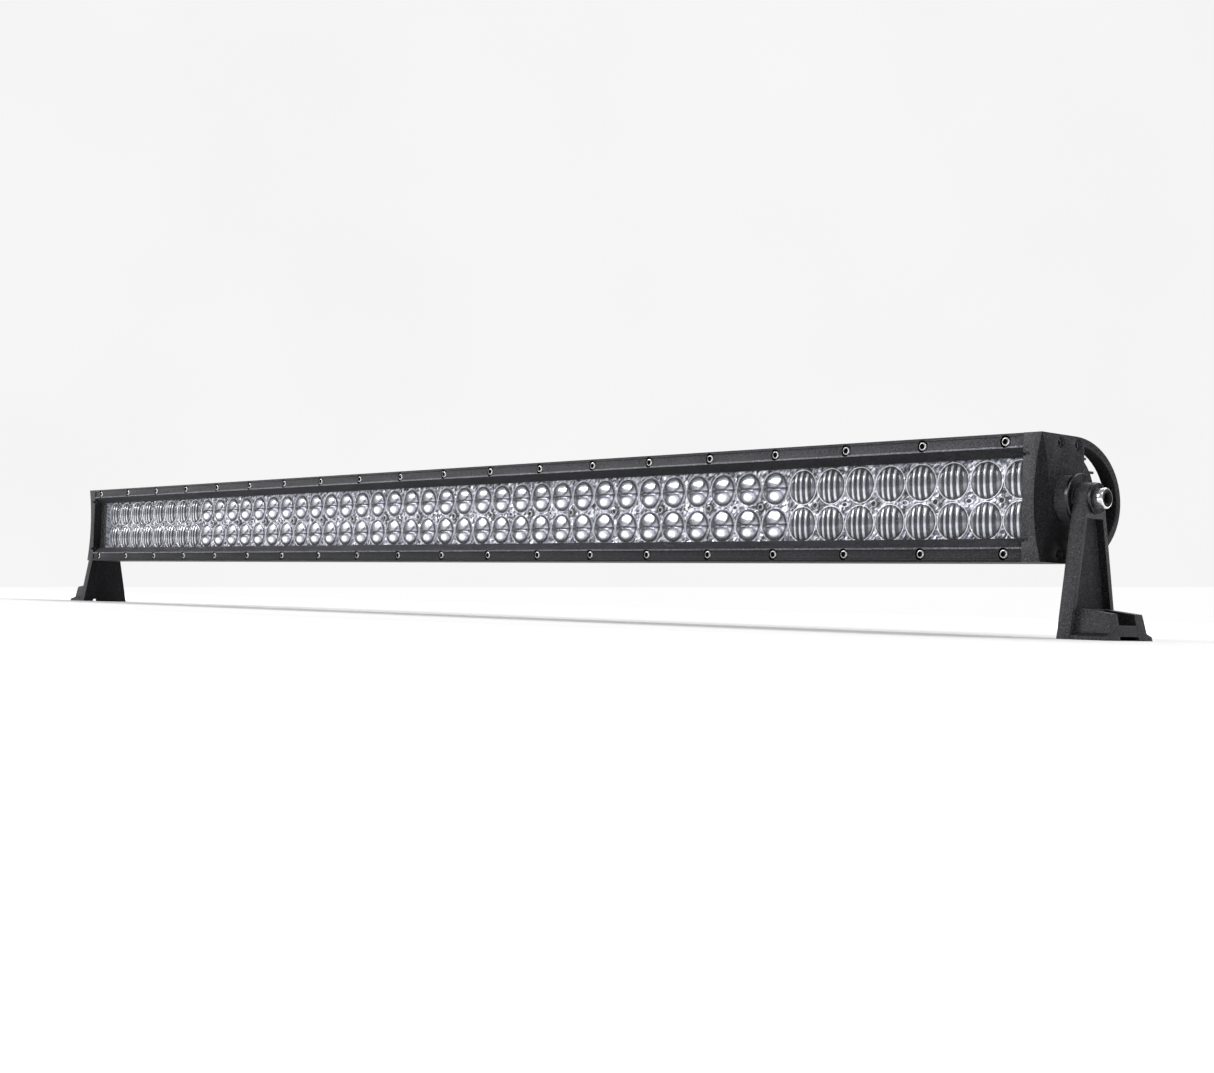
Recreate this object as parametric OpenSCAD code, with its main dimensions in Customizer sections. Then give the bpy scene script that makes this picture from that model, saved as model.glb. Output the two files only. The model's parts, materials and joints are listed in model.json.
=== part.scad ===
// LED light bar with two rows of lenses, for a truck roof, grille or bumper.
// A finned aluminium housing carries the optics. Two die-cast end caps close it,
// and a cast foot bracket swivels on a bolt at each end.
// X runs along the bar, the lenses face -Y and +Z is up.
// The origin lies on the mounting plane, midway between the two foot slots.

/* [Bar] */
// Length over the two end caps
bar_length = 1270; // [1268:1:1290]
// Height of the housing and the end caps
bar_height = 80; // [80:0.5:84]
// Depth from the front of the rails to the rear of the end caps
bar_depth = 90; // [88:0.5:96]
// Height of the pivot axis above the mounting plane
pivot_height = 86.4; // [84:0.2:110]
// Distance of the pivot axis behind the front of the rails
pivot_setback = 29; // [28:0.5:30]

/* [Lenses] */
// Lens columns, in groups of eight
columns = 48; // [48]
// Distance between two columns
lens_pitch = 25.85; // [25.8:0.05:25.85]
// Distance between the two rows
row_pitch = 26; // [25:0.5:26.5]
// Radius of one lens
lens_r = 12.2; // [11:0.1:12.3]

/* [End caps] */
// Thickness of an end cap, along the bar
cap_w = 13.5; // [13:0.5:16]
// Width of the open rim at the back of a cap, along the bar
rim_w = 9; // [7:0.5:12]
// Thickness of that rim, seen from the end
rim_t = 5; // [4:0.5:6]
// Radius of the pivot boss
boss_r = 15; // [14:0.5:17]
// How far the boss stands out from the cap
boss_h = 8; // [7:0.5:12]

/* [Brackets] */
// Half width of the leg at the mounting plane
leg_half_w = 26.2; // [25.9:0.1:26.6]
// Radius of the leg's round top
leg_top_r = 10; // [9.5:0.5:11]
// Thickness of the leg, along the bar
leg_t = 9.2; // [9:0.2:12]
// How far the foot reaches out from the leg's inner face
foot_reach = 34.4; // [34:0.2:40]
// Height of the floor that the mounting bolt clamps
foot_floor = 9.2; // [8:0.2:10]
// Width of the mounting slot, for an M8 bolt
slot_w = 9; // [8.5:0.1:9.5]
// Length of the mounting slot, end to end
slot_length = 16; // [14:0.5:16.5]

/* [Fasteners] */
// Radius of the pivot bolt, M8
pivot_bolt_r = 4; // [4]
// Radial clearance between the pivot bolt and the bracket
pivot_clearance = 0.05; // [0.02:0.01:0.1]
// Screws along each rail
rail_screws = 20; // [20]

/* [Hidden] */
$fn = 64;
eps = 0.1;

// Bar frame: depth counts back from the rail fronts, height from the pivot axis
half_length = bar_length / 2;
half_h = bar_height / 2;
front_y = -pivot_setback;
gasket_t = 1;
cap_x = half_length - cap_w;
housing_half = cap_x - gasket_t;

// Depths of the layers, counted back from the rail fronts
rail_depth = 8;
cover_t = 2.5;
seal_depth = rail_depth + cover_t;
ledge_depth = 12.5;
dome_depth = 12.9;
lens_plate_depth = 18;
tray_depth = 20;
board_depth = 25.9;
pad_depth = 27.5;
web_depth = 28;
web_back = 33;
led_t = 1.4;

// Cross-section of the housing
wall = 3;
fin_t = 1.6;
fin_pitch = 8.3;
fin_pairs = 4;
flange_h = 9;
cavity_half_h = 27.5;
cover_half_h = 30.8;
curve_start = 38;
curved_wall_end = 66;
gland_x = 560;
gland_pocket_w = 30;

// Lens groups
group_columns = 8;
groups = columns / group_columns;
group_w = group_columns * lens_pitch;
group_gap = 0.4;
tray_half_h = 27;
led_size = 3.5;

// Rail screws, M3, and end cap screws, M4
rail_screw_pitch = 64;
rail_screw_h = half_h - 5;
rail_counterbore_r = 4;
rail_head_depth = 3.3;
rail_screw_r = 1.5;
rail_screw_end = 17;
end_screw_depths = [21.4, 40.6];
end_screw_h = half_h - 5.2;
end_screw_r = 2;
end_counterbore_r = 3.9;
end_head_recess = 5.5;
end_screw_reach = 20;
tray_screw_r = 1.25;
tray_screw_end = 32;

// End caps: a waisted front corner and a window inside the rear rim
solid_depth = 47;
disc_r = 30.5;
waist_x = 5.2;
waist_y = 8.6;
waist_angle = atan(waist_y / waist_x);
waist_cut = waist_x * sin(waist_angle);
waist_r = (half_h * half_h + waist_cut * waist_cut) / (2 * waist_cut);
waist_inward = 20;
waist_outward = 10;
slit_h = 26.6;
slit_w = 2;
slit_reach = 4.7;
slit_depth = 3;

// Pivot stack, from the cap outwards
boss_x = half_length + boss_h;
disc_t = 2.3;
disc_outer_r = 16;
leg_x = boss_x + disc_t + 0.3;
leg_out_x = leg_x + leg_t;
washer_gap = 0.3;
washer_x = leg_out_x + washer_gap;
washer_t = 1.9;
washer_r = 9.8;
bolt_head_r = 6.5;
bolt_head_t = 6;
bolt_reach = 17;

// Bracket leg and foot
leg_taper = atan((leg_half_w - leg_top_r) / pivot_height);
leg_shoulder = leg_top_r * cos(leg_taper) - 0.15;
leg_web = 4;
leg_edge = 3.6;
panel_low = 5;
panel_high = 74;
foot_half_w = 25.9;
base_top = 2.4;
base_top_half_w = 25.5;
pedestal_low = 4.4;
pedestal_low_half_w = 20.6;
pedestal_high = 16.8;
pedestal_high_half_w = 18.2;
pedestal_top_half_w = 16.4;
foot_low_top = 16;
foot_high_top = 18.8;
foot_end_slope = 3.1;
channel_half_w = 9.6;
channel_start = 10.8;
slot_centre = 21.4;
slot_x = leg_x + slot_centre;
sole_relief = 2.4;
sole_rim = 4;
sole_half_w = 15.5;
sole_exit_half_w = 10.5;
notch_y = 12;
notch_r = 3;

sides = ["left", "right"];

// Depth of the rounded rear outline at a height h, for an outline set in by t
function rear_depth(h, t) =
    curve_start + (bar_depth - curve_start - t) * sqrt(1 - pow(h / (half_h - t), 2));

// X of a lens column, counted from 0
function column_x(i) = (i - (columns - 1) / 2) * lens_pitch;

// X of the middle of a lens group, counted from 1
function group_x(i) = (i - (groups + 1) / 2) * group_w;

// X of the tray screws of one group, in every second gap between columns
function tray_screw_xs(i) = [for (k = [-3:2:3]) group_x(i) + k * lens_pitch];

// X of a rail screw, counted from 0
function rail_screw_x(i) = (i - (rail_screws - 1) / 2) * rail_screw_pitch;

// ---- placing ----

// Extrudes a (depth, height) outline of the bar's cross-section along X
module along_bar(x0, length) {
    translate([x0, front_y, pivot_height])
        rotate([90, 0, 90])
            linear_extrude(height = length)
                children();
}

// A box in bar coordinates: x, depth and height ranges
module bar_box(xs, depths, heights) {
    translate([xs[0], front_y + depths[0], pivot_height + heights[0]])
        cube([xs[1] - xs[0], depths[1] - depths[0], heights[1] - heights[0]]);
}

// A round bar or bore that runs backwards from a depth
module depth_rod(x, depth, height, length, r_front, r_back) {
    translate([x, front_y + depth, pivot_height + height])
        rotate([-90, 0, 0])
            cylinder(h = length, r1 = r_front, r2 = r_back);
}

// A round bar or bore that runs outwards along X from x0
module end_rod(x0, depth, height, length, r) {
    translate([x0, front_y + depth, pivot_height + height])
        rotate([0, 90, 0])
            cylinder(h = length, r = r);
}

// A hexagon recess cut into a screw head
module hex_depth_socket(x, depth, height, length, r) {
    translate([x, front_y + depth, pivot_height + height])
        rotate([-90, 0, 0])
            cylinder(h = length, r = r, $fn = 6);
}

module hex_end_socket(x0, depth, height, length, r) {
    translate([x0, front_y + depth, pivot_height + height])
        rotate([0, 90, 0])
            cylinder(h = length, r = r, $fn = 6);
}

// Shows a piece of the right end at either end, as its mirror image
module at_end(side) {
    if (side == "right")
        children();
    else
        mirror([1, 0, 0])
            children();
}

// Shows a bracket at either end: the two are the same casting, turned round
module turned_end(side) {
    rotate([0, 0, side == "right" ? 0 : 180])
        children();
}

// ---- outlines ----

// D-shaped side outline of the bar, set in by t at the back
module d_outline(t) {
    polygon(concat(
        [[0, half_h - t], [0, t - half_h]],
        [for (a = [-90:6:90])
            [curve_start + (bar_depth - curve_start - t) * cos(a), (half_h - t) * sin(a)]]
    ));
}

// Upper half of the housing's outer wall, flange and screw ports
module upper_wall_outline() {
    intersection() {
        difference() {
            d_outline(0);
            d_outline(wall);
        }
        translate([rail_depth, 0])
            square([curved_wall_end - rail_depth, half_h]);
    }
    difference() {
        translate([rail_depth, half_h - flange_h])
            square([web_back - rail_depth - 8, flange_h]);
        translate([end_screw_depths[0], end_screw_h])
            circle(r = end_screw_r);
    }
    translate([ledge_depth, cavity_half_h])
        square([web_back - ledge_depth, cover_half_h - cavity_half_h + 0.4]);
    difference() {
        translate([end_screw_depths[1], end_screw_h])
            circle(r = end_screw_r + 2);
        translate([end_screw_depths[1], end_screw_h])
            circle(r = end_screw_r);
    }
}

// Whole cross-section of the housing, fins included
module housing_outline() {
    upper_wall_outline();
    mirror([0, 1])
        upper_wall_outline();
    translate([web_depth, -cover_half_h])
        square([web_back - web_depth, 2 * cover_half_h]);
    for (k = [0.5:1:fin_pairs])
        for (s = [-1, 1])
            translate([web_back - eps, s * k * fin_pitch - fin_t / 2])
                square([rear_depth(k * fin_pitch, 1) - web_back, fin_t]);
}

// Cross-section of the upper rail: a screw strip, a ridge and a sloping bezel
module rail_outline() {
    polygon([
        [0, half_h - 1.2], [1.2, half_h],
        [rail_depth, half_h], [rail_depth, half_h - 14.8],
        [rail_depth - 1, half_h - 14.8], [1.2, half_h - 9.6],
        [0, half_h - 9.2], [0, half_h - 8],
        [0.9, half_h - 7.6], [0.9, half_h - 2.2],
        [0, half_h - 1.8]
    ]);
}

// Solid part of an end cap: the front block and a disc round the pivot
module cap_plate_outline() {
    intersection() {
        d_outline(0);
        union() {
            translate([0, -half_h])
                square([solid_depth, bar_height]);
            translate([pivot_setback, 0])
                circle(r = disc_r);
        }
    }
}

// Rear rim of an end cap
module cap_rim_outline() {
    difference() {
        d_outline(0);
        d_outline(rim_t);
        translate([-eps, -half_h])
            square([solid_depth, bar_height]);
    }
}

// ---- housing, rails and front cover ----

module heatsink_housing() {
    color("#262628")
        difference() {
            along_bar(-housing_half, 2 * housing_half)
                housing_outline();
            for (i = [0:rail_screws - 1])
                for (s = [-1, 1])
                    depth_rod(rail_screw_x(i), rail_depth - eps, s * rail_screw_h,
                        rail_screw_end - rail_depth + eps, rail_screw_r, rail_screw_r);
            for (i = [1:groups])
                for (x = tray_screw_xs(i))
                    depth_rod(x, web_depth - eps, 0, tray_screw_end - web_depth + eps,
                        tray_screw_r, tray_screw_r);
            bar_box([gland_x - gland_pocket_w / 2, gland_x + gland_pocket_w / 2],
                [web_back, bar_depth], [-fin_pitch * 2, fin_pitch * 2]);
            depth_rod(gland_x, web_depth - eps, 0, web_back - web_depth + 2 * eps, 6, 6);
        }
}

module rail(height_sign) {
    difference() {
        along_bar(-cap_x, 2 * cap_x)
            turned_over(height_sign)
                rail_outline();
        for (i = [0:rail_screws - 1]) {
            depth_rod(rail_screw_x(i), -eps, height_sign * rail_screw_h,
                rail_head_depth + eps, rail_counterbore_r, rail_counterbore_r);
            depth_rod(rail_screw_x(i), rail_head_depth - eps, height_sign * rail_screw_h,
                rail_depth, rail_screw_r + 0.1, rail_screw_r + 0.1);
        }
    }
}

// Turns an outline upside down where the sign is -1
module turned_over(height_sign) {
    if (height_sign > 0)
        children();
    else
        mirror([0, 1])
            children();
}

module top_rail() {
    color("#2a2a2c")
        rail(1);
}

module bottom_rail() {
    color("#2a2a2c")
        rail(-1);
}

module front_cover() {
    color("#dfe8ee", 0.35)
        bar_box([-housing_half, housing_half], [rail_depth, seal_depth], [-cover_half_h, cover_half_h]);
}

module cover_gasket() {
    color("#151515")
        difference() {
            bar_box([-housing_half, housing_half], [seal_depth, ledge_depth],
                [-cover_half_h, cover_half_h]);
            bar_box([4 - housing_half, housing_half - 4], [seal_depth - eps, ledge_depth + eps],
                [-cavity_half_h, cavity_half_h]);
        }
}

// ---- optics, one set per group of sixteen lenses ----

// Range of X that one group covers
function group_range(i) = [group_x(i) - group_w / 2 + group_gap / 2, group_x(i) + group_w / 2 - group_gap / 2];

// Calls its child at each lens centre of a group
module at_lenses(i) {
    for (k = [0:group_columns - 1])
        for (s = [-1, 1])
            translate([column_x((i - 1) * group_columns + k), front_y, pivot_height + s * row_pitch / 2])
                rotate([-90, 0, 0])
                    children();
}

module tray_screw_holes(i, depth, length) {
    for (x = tray_screw_xs(i))
        depth_rod(x, depth - eps, 0, length + 2 * eps, tray_screw_r + 0.15, tray_screw_r + 0.15);
}

module lens_group(i) {
    color("#eef2f5", 0.5)
        difference() {
            union() {
                bar_box(group_range(i), [lens_plate_depth, tray_depth], [-tray_half_h, tray_half_h]);
                at_lenses(i)
                    translate([0, 0, dome_depth])
                        cylinder(h = lens_plate_depth - dome_depth + eps, r = lens_r);
            }
            tray_screw_holes(i, lens_plate_depth, tray_depth - lens_plate_depth);
        }
}

module reflector_tray(i) {
    color("#d9dadb")
        difference() {
            bar_box(group_range(i), [tray_depth, board_depth], [-tray_half_h, tray_half_h]);
            at_lenses(i)
                translate([0, 0, tray_depth - eps])
                    cylinder(h = board_depth - tray_depth + 2 * eps, r1 = lens_r - 0.2, r2 = 2.9);
            tray_screw_holes(i, tray_depth, board_depth - tray_depth);
        }
}

module led_board(i) {
    color("#e8e9e6")
        difference() {
            bar_box(group_range(i), [board_depth, pad_depth], [-tray_half_h, tray_half_h]);
            tray_screw_holes(i, board_depth, pad_depth - board_depth);
        }
}

module led_packages() {
    color("#e6d27a")
        for (i = [1:groups])
            at_lenses(i)
                translate([-led_size / 2, -led_size / 2, board_depth - led_t])
                    cube([led_size, led_size, led_t]);
}

module thermal_pads() {
    color("#8f9aa5")
        for (i = [1:groups])
            difference() {
                bar_box(group_range(i), [pad_depth, web_depth], [-tray_half_h, tray_half_h]);
                tray_screw_holes(i, pad_depth, web_depth - pad_depth);
                depth_rod(gland_x, pad_depth - eps, 0, 1, 6, 6);
            }
}

module tray_screws() {
    color("#c9cacc")
        for (i = [1:groups])
            for (x = tray_screw_xs(i))
                difference() {
                    union() {
                        depth_rod(x, lens_plate_depth - 1.6, 0, 1.6, 2, 2.4);
                        depth_rod(x, lens_plate_depth - eps, 0, tray_screw_end - lens_plate_depth,
                            tray_screw_r, tray_screw_r);
                    }
                    hex_depth_socket(x, lens_plate_depth - 2, 0, 1.3, 0.9);
                }
}

module board_links() {
    color("#b58f3d")
        for (i = [1:groups - 1])
            for (s = [-1, 1])
                bar_box([group_range(i)[1], group_range(i + 1)[0]], [board_depth, pad_depth],
                    [s * 20 - 1.5, s * 20 + 1.5]);
}

module feed_wires() {
    color("#a01c1c")
        for (s = [-1, 1])
            depth_rod(gland_x + s * 1.6, pad_depth, 0, 9, 1.2, 1.2);
}

// ---- cable gland at the back ----

module cable_gland() {
    color("#1d1d1e")
        difference() {
            union() {
                depth_rod(gland_x, web_depth, 0, 22, 6, 6);
                translate([gland_x, front_y + web_back, pivot_height])
                    rotate([-90, 30, 0])
                        cylinder(h = 5, r = 9.5, $fn = 6);
            }
            depth_rod(gland_x, web_depth - eps, 0, 23, 4, 4);
        }
}

module gland_seal() {
    color("#101010")
        depth_rod(gland_x, web_back + 8, 0, 8, 3.9, 3.9);
}

module gland_nut() {
    color("#1d1d1e")
        difference() {
            union() {
                translate([gland_x, front_y + web_back + 6, pivot_height])
                    rotate([-90, 30, 0])
                        cylinder(h = 7, r = 9.5, $fn = 6);
                depth_rod(gland_x, web_back + 13 - eps, 0, 7, 8, 6);
            }
            depth_rod(gland_x, web_back + 6 - eps, 0, 11 + eps, 6.05, 6.05);
            depth_rod(gland_x, web_back + 6, 0, 15, 3.6, 3.6);
        }
}

// ---- end caps ----

// Hollows the front corner of a cap, deepest at mid-height
module waist_cutter() {
    translate([half_length, front_y, pivot_height])
        rotate([0, 0, waist_angle])
            translate([-waist_inward, waist_cut - waist_r, 0])
                rotate([0, 90, 0])
                    cylinder(h = waist_inward + waist_outward, r = waist_r, $fn = 256);
}

module end_cap(side) {
    color("#2b2b2d")
        at_end(side)
            difference() {
                union() {
                    along_bar(cap_x, cap_w)
                        cap_plate_outline();
                    along_bar(half_length - rim_w, rim_w)
                        cap_rim_outline();
                    end_rod(half_length - eps, pivot_setback, 0, boss_h + eps, boss_r);
                }
                waist_cutter();
                for (s = [-1, 1])
                    bar_box([cap_x - eps, cap_x + slit_reach], [-eps, slit_depth],
                        [s * slit_h - slit_w / 2, s * slit_h + slit_w / 2]);
                for (depth = end_screw_depths)
                    for (s = [-1, 1]) {
                        end_rod(half_length - end_head_recess, depth, s * end_screw_h,
                            end_head_recess + eps, end_counterbore_r);
                        end_rod(cap_x - eps, depth, s * end_screw_h, cap_w, end_screw_r + 0.15);
                    }
                end_rod(boss_x - bolt_reach, pivot_setback, 0, bolt_reach + eps, pivot_bolt_r);
            }
}

module end_gasket(side) {
    color("#121212")
        at_end(side)
            along_bar(housing_half, gasket_t)
                difference() {
                    translate([rail_depth, -cover_half_h])
                        square([web_back - rail_depth, 2 * cover_half_h]);
                    translate([ledge_depth, -cavity_half_h])
                        square([web_depth - ledge_depth, 2 * cavity_half_h]);
                }
}

// ---- screws ----

module end_screws(side) {
    color("#c9cacc")
        at_end(side)
            for (depth = end_screw_depths)
                for (s = [-1, 1])
                    difference() {
                        union() {
                            end_rod(half_length - end_head_recess, depth, s * end_screw_h, 3, 3.1);
                            end_rod(half_length - end_head_recess - end_screw_reach, depth,
                                s * end_screw_h, end_screw_reach + eps, end_screw_r);
                        }
                        hex_end_socket(half_length - end_head_recess + 1, depth, s * end_screw_h, 3, 1.7);
                    }
}

module rail_screw_row(height_sign) {
    for (i = [0:rail_screws - 1])
        difference() {
            union() {
                depth_rod(rail_screw_x(i), 0.3, height_sign * rail_screw_h,
                    rail_head_depth - 0.3, 2.75, 2.75);
                depth_rod(rail_screw_x(i), rail_head_depth - eps, height_sign * rail_screw_h,
                    rail_screw_end - rail_head_depth, rail_screw_r, rail_screw_r);
            }
            hex_depth_socket(rail_screw_x(i), 0.2, height_sign * rail_screw_h, 1.9, 1.45);
        }
}

module rail_screws_top() {
    color("#c9cacc")
        rail_screw_row(1);
}

module rail_screws_bottom() {
    color("#c9cacc")
        rail_screw_row(-1);
}

// ---- pivots ----

// A flat ring with radial teeth pressed into its outer face
module toothed_ring(x0, t, r, bore_r, teeth, tooth_in) {
    difference() {
        end_rod(x0, pivot_setback, 0, t, r);
        end_rod(x0 - eps, pivot_setback, 0, t + 2 * eps, bore_r);
        for (a = [0:360 / teeth:359])
            translate([x0 + t, 0, pivot_height])
                rotate([a, 0, 0])
                    translate([0, 0, (tooth_in + r + 1) / 2])
                        rotate([0, 0, 45])
                            cube([0.8, 0.8, r + 1 - tooth_in], center = true);
    }
}

module pivot_disc(side) {
    color("#3a3a3c")
        at_end(side)
            toothed_ring(boss_x, disc_t, disc_outer_r, pivot_bolt_r, 48, 11);
}

module tooth_washer(side) {
    color("#333335")
        at_end(side)
            toothed_ring(washer_x, washer_t, washer_r, pivot_bolt_r, 36, 6.8);
}

module pivot_bolt(side) {
    color("#d4d5d7")
        at_end(side)
            difference() {
                union() {
                    end_rod(washer_x + washer_t, pivot_setback, 0, bolt_head_t, bolt_head_r);
                    end_rod(boss_x - bolt_reach, pivot_setback, 0,
                        washer_x + washer_t - boss_x + bolt_reach + eps, pivot_bolt_r);
                }
                hex_end_socket(washer_x + washer_t + 2, pivot_setback, 0, bolt_head_t, 3.4);
            }
}

// ---- brackets ----

// Side outline of the leg: a taper that ends in a round eye
module leg_outline() {
    polygon([
        [-leg_half_w, 0], [leg_half_w, 0],
        [leg_shoulder, pivot_height + leg_top_r * sin(leg_taper)],
        [-leg_shoulder, pivot_height + leg_top_r * sin(leg_taper)]
    ]);
    translate([0, pivot_height])
        circle(r = leg_top_r);
}

// Sunk panel in the leg's outer face
module leg_panel_outline() {
    function edge_at(z) = leg_half_w - (leg_half_w - leg_top_r) * z / pivot_height - leg_edge;
    polygon([
        [-edge_at(panel_low), panel_low], [edge_at(panel_low), panel_low],
        [edge_at(panel_high), panel_high], [-edge_at(panel_high), panel_high]
    ]);
}

// Foot seen from the end: a narrower pedestal on a thin base
module foot_end_outline() {
    polygon([
        [-foot_half_w, -eps], [foot_half_w, -eps],
        [base_top_half_w, base_top], [pedestal_low_half_w, pedestal_low],
        [pedestal_high_half_w, pedestal_high], [pedestal_top_half_w, foot_high_top + eps],
        [-pedestal_top_half_w, foot_high_top + eps], [-pedestal_high_half_w, pedestal_high],
        [-pedestal_low_half_w, pedestal_low], [-base_top_half_w, base_top]
    ]);
}

// Foot seen from the front, with a sloping top and outer end
module foot_side_outline() {
    polygon([
        [0, 0], [foot_reach, 0],
        [foot_reach - foot_end_slope, foot_low_top],
        [leg_t, foot_high_top], [0, foot_high_top]
    ]);
}

// The leg, with its sunk panel
module leg_plate() {
    difference() {
        translate([leg_x, 0, 0])
            rotate([90, 0, 90])
                linear_extrude(height = leg_t)
                    leg_outline();
        translate([leg_x + leg_web, 0, 0])
            rotate([90, 0, 90])
                linear_extrude(height = leg_t - leg_web + eps)
                    leg_panel_outline();
    }
}

// Slot outline that runs outwards from the leg
module slot_outline(length, width) {
    square([length - width, width], center = true);
    for (s = [-1, 1])
        translate([s * (length - width) / 2, 0])
            circle(r = width / 2);
}

module foot_block() {
    intersection() {
        translate([leg_x - eps, 0, 0])
            rotate([90, 0, 90])
                linear_extrude(height = foot_reach + 2 * eps)
                    foot_end_outline();
        translate([leg_x, leg_half_w, 0])
            rotate([90, 0, 0])
                linear_extrude(height = 2 * leg_half_w)
                    foot_side_outline();
    }
}

// Hollow under the foot, open at the outer end, with a notch in the leg's inner face
module sole_hollow() {
    translate([leg_x + sole_rim, -sole_half_w, -eps])
        cube([foot_reach - 2 * sole_rim, 2 * sole_half_w, sole_relief + eps]);
    translate([slot_x, -sole_exit_half_w, -eps])
        cube([foot_reach, 2 * sole_exit_half_w, sole_relief + eps]);
    translate([leg_x - eps, notch_y, 0])
        rotate([0, 90, 0])
            cylinder(h = sole_rim + 2 * eps, r = notch_r);
}

module bracket(side) {
    color("#2c2c2e")
        turned_end(side)
            difference() {
                union() {
                    leg_plate();
                    foot_block();
                }
                translate([leg_x + channel_start, -channel_half_w, foot_floor])
                    cube([foot_reach, 2 * channel_half_w, foot_high_top]);
                translate([slot_x, 0, -eps])
                    linear_extrude(height = foot_floor + 2 * eps)
                        slot_outline(slot_length, slot_w);
                sole_hollow();
                translate([leg_x - eps, 0, pivot_height])
                    rotate([0, 90, 0])
                        cylinder(h = leg_t + 2 * eps, r = pivot_bolt_r + pivot_clearance);
            }
}

heatsink_housing();
top_rail();
bottom_rail();
front_cover();
cover_gasket();
for (i = [1:groups]) {
    lens_group(i);
    reflector_tray(i);
    led_board(i);
}
led_packages();
thermal_pads();
tray_screws();
board_links();
feed_wires();
cable_gland();
gland_seal();
gland_nut();
rail_screws_top();
rail_screws_bottom();
for (s = sides) {
    end_cap(s);
    end_gasket(s);
    end_screws(s);
    pivot_disc(s);
    tooth_washer(s);
    pivot_bolt(s);
    bracket(s);
}
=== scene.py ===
"""Looks of an LED light bar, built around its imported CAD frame. Lengths are in metres."""
import json
import math
import random

import bmesh
import bpy
import numpy as np
from mathutils import Matrix, Vector


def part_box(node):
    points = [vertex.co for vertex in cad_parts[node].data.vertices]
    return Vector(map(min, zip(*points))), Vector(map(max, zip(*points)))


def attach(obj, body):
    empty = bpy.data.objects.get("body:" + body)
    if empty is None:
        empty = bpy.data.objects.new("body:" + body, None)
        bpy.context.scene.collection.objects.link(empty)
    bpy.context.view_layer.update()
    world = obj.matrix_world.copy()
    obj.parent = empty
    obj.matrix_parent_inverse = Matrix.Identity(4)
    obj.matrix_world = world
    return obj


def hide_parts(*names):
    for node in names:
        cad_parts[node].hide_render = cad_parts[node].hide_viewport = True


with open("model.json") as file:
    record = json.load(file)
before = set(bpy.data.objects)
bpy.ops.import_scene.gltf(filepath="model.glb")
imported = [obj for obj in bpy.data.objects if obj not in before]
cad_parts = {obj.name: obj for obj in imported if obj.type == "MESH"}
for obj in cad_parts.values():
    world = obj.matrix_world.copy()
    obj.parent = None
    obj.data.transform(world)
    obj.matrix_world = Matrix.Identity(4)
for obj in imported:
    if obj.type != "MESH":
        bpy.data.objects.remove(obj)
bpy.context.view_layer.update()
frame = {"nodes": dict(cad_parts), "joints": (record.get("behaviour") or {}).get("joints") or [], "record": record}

MM = 0.001
nodes = frame["nodes"]
random.seed(48)
rng = np.random.default_rng(48)

# ---- places: the front and the pivots from the frame, the rest as in part.scad ----

FRONT_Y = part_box("top_rail")[0].y
PIVOT_Z = frame["joints"][1]["pos_m"][2]
LENS_PITCH = 25.85 * MM
ROW_PITCH = 26 * MM
COLUMNS_PER_GROUP = 8
GROUPS = 6
FLOOD_GROUPS = (1, 6)
SCREW_COLUMNS = (-3, -1, 1, 3)
GATE_COLUMNS = (-2, 0, 2)
PLATE_DEPTH = 19.4 * MM
PLATE_Y = FRONT_Y + PLATE_DEPTH
RAIL_SCREWS = 20
RAIL_SCREW_PITCH = 64 * MM
RAIL_SCREW_HEIGHT = 35 * MM
RAIL_SCREW_SEAT = 3.3 * MM
END_SCREW_DEPTHS = (21.4 * MM, 40.6 * MM)
END_SCREW_HEIGHT = 34.8 * MM
TRAY_SCREW_LIFT = 0.6 * MM
PIVOT_BORE_R = 4 * MM

# ---- camera, at the photograph's viewing angle ----

CAMERA_AT = Vector((1.24393, -0.94474, 0.01323))
CAMERA_YAW = math.radians(47.52)
CAMERA_PITCH = math.radians(2.21)
CAMERA_ROLL = math.radians(1.63)
LENS_MM = 51.954
SENSOR_MM = 36
CLIP_FROM, CLIP_TO = 0.01, 100


def camera_axes():
    """Right, up and forward directions of the camera."""
    forward = Vector((
        -math.sin(CAMERA_YAW) * math.cos(CAMERA_PITCH),
        math.cos(CAMERA_YAW) * math.cos(CAMERA_PITCH),
        math.sin(CAMERA_PITCH),
    ))
    level_right = Vector((math.cos(CAMERA_YAW), math.sin(CAMERA_YAW), 0))
    level_up = level_right.cross(forward)
    right = level_right * math.cos(CAMERA_ROLL) + level_up * math.sin(CAMERA_ROLL)
    up = level_up * math.cos(CAMERA_ROLL) - level_right * math.sin(CAMERA_ROLL)
    return right, up, forward


def add_camera():
    right, up, forward = camera_axes()
    data = bpy.data.cameras.new("camera")
    data.sensor_width = SENSOR_MM
    data.lens = LENS_MM
    data.clip_start = CLIP_FROM
    data.clip_end = CLIP_TO
    camera = bpy.data.objects.new("camera", data)
    placing = Matrix((right, up, -forward)).transposed().to_4x4()
    placing.translation = CAMERA_AT
    camera.matrix_world = placing
    bpy.context.scene.collection.objects.link(camera)
    bpy.context.scene.camera = camera


add_camera()

# ---- materials ----

GRAINS_PER_METRE = 900
SPECKS_PER_METRE = 1500
COAT_CLOUDS_PER_METRE = 14
SMUDGES_PER_METRE = 160
MOULD_GRAINS_PER_METRE = 1200
MOULD_CLOUDS_PER_METRE = 60
VEINS_PER_METRE = 700
CRACKS_PER_METRE = 420
HANDLING_MARKS_PER_METRE = 35
# Strength of the painted glow that brightens the lens optics' painted reflections.
PAINTED_OPTICS_GLOW = 0.4


def link(tree, source, target):
    tree.links.new(source, target)


def grey(level):
    return (level, level, level)


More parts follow.
